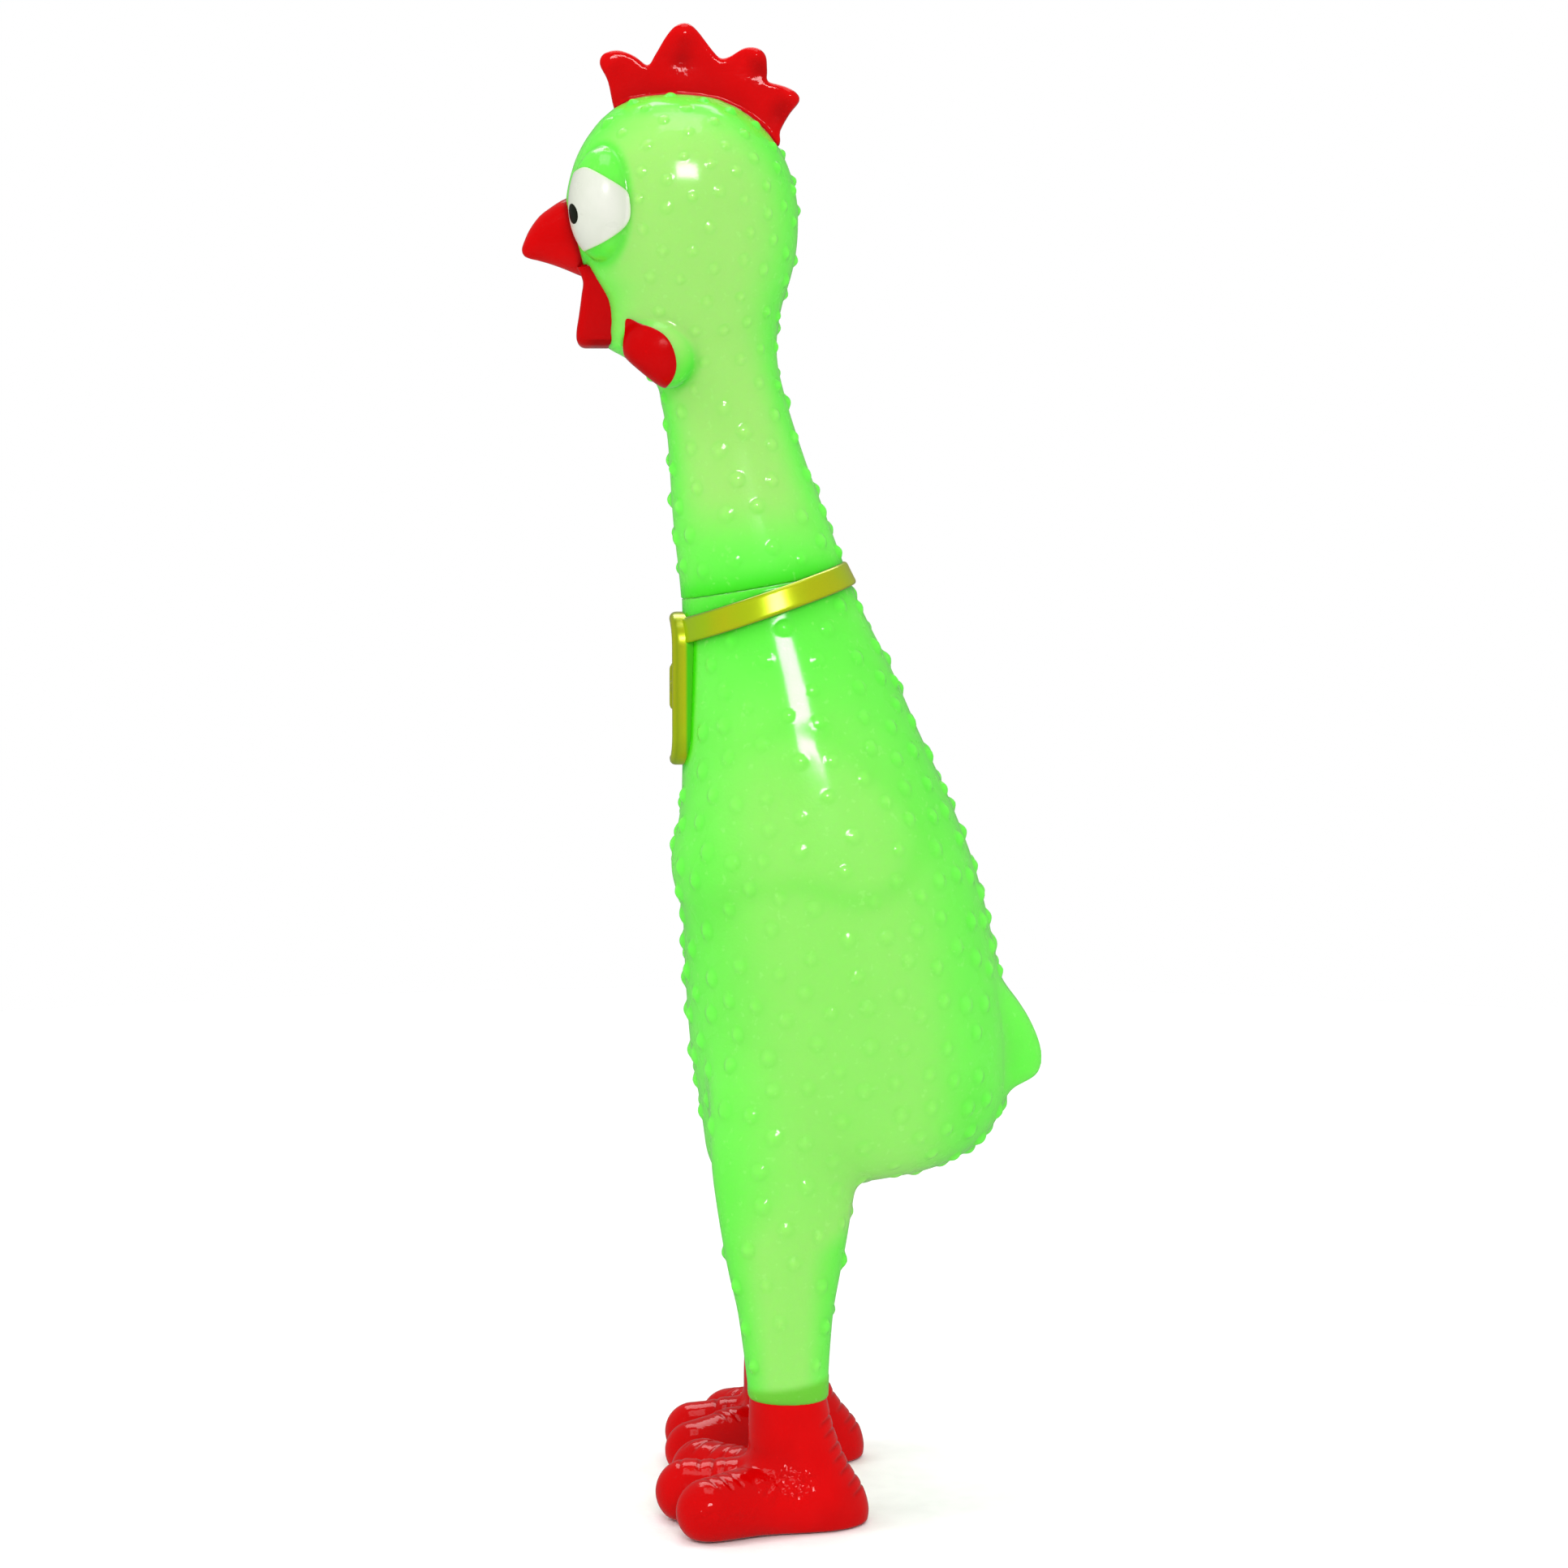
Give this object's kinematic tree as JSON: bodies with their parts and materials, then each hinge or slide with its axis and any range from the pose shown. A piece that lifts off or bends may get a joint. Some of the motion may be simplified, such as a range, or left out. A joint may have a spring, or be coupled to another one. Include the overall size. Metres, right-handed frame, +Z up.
{
  "type": "rubber chicken",
  "caption": "Hollow soft-rubber squeaking chicken that stands on its feet, with a comb, open beak, gold ribbon and medal, a bending neck and ankles, and a reed squeaker in its throat.",
  "frame": {"origin": "on the floor, at the middle of the toy's bounding box", "axes": "+Z up, -X the way the beak points, -Y the chicken's left side"},
  "size_m": [0.1127, 0.093, 0.32],
  "materials": {
    "green_rubber": "satin translucent soft rubber",
    "red_rubber": "gloss painted soft rubber",
    "gold_paint": "metallic gold paint on soft rubber",
    "eye_white": "satin white paint",
    "pupil_black": "gloss black paint",
    "squeaker_plastic": "moulded plastic",
    "reed_film": "thin sheet plastic"
  },
  "bodies": {
    "body": {"body_shell": "green_rubber", "ribbon": "gold_paint", "medal": "gold_paint"},
    "neck": {"neck_shell": "green_rubber"},
    "head": {"head_shell": "green_rubber", "comb": "red_rubber", "upper_beak": "red_rubber", "lower_beak": "red_rubber", "left_eye": "eye_white", "right_eye": "eye_white", "left_pupil": "pupil_black", "right_pupil": "pupil_black", "left_wattle": "red_rubber", "right_wattle": "red_rubber", "squeaker_bush": "green_rubber", "squeaker_tube": "squeaker_plastic", "reed_holder": "squeaker_plastic", "reed_wedge": "squeaker_plastic"},
    "reed": {"reed": "reed_film"},
    "left_foot": {"left_foot": "red_rubber"},
    "right_foot": {"right_foot": "red_rubber"}
  },
  "joints": [
    {"name": "neck_twist", "type": "hinge", "parent": "body", "child": "neck", "pos_m": [-0.0049, 0, 0.2002], "axis": [-0.1736, 0, 0.9848], "range_deg": [-60, 60], "stiffness_Nm_per_rad": 0.4},
    {"name": "neck_bend", "type": "hinge", "parent": "neck", "child": "head", "pos_m": [-0.0119, 0, 0.235], "axis": [0, 1, 0], "range_deg": [-30, 25], "stiffness_Nm_per_rad": 0.6},
    {"name": "reed_flex", "type": "hinge", "parent": "head", "child": "reed", "pos_m": [-0.0198, 0, 0.2594], "axis": [0, 1, 0], "range_deg": [-3, 3], "stiffness_Nm_per_rad": 0.0002},
    {"name": "left_ankle_bend", "type": "hinge", "parent": "body", "child": "left_foot", "pos_m": [0.0009, -0.0263, 0.031], "axis": [0, 1, 0], "range_deg": [-15, 15], "stiffness_Nm_per_rad": 3},
    {"name": "right_ankle_bend", "type": "hinge", "parent": "body", "child": "right_foot", "pos_m": [0.0009, 0.0263, 0.031], "axis": [0, 1, 0], "range_deg": [-15, 15], "stiffness_Nm_per_rad": 3}
  ]
}
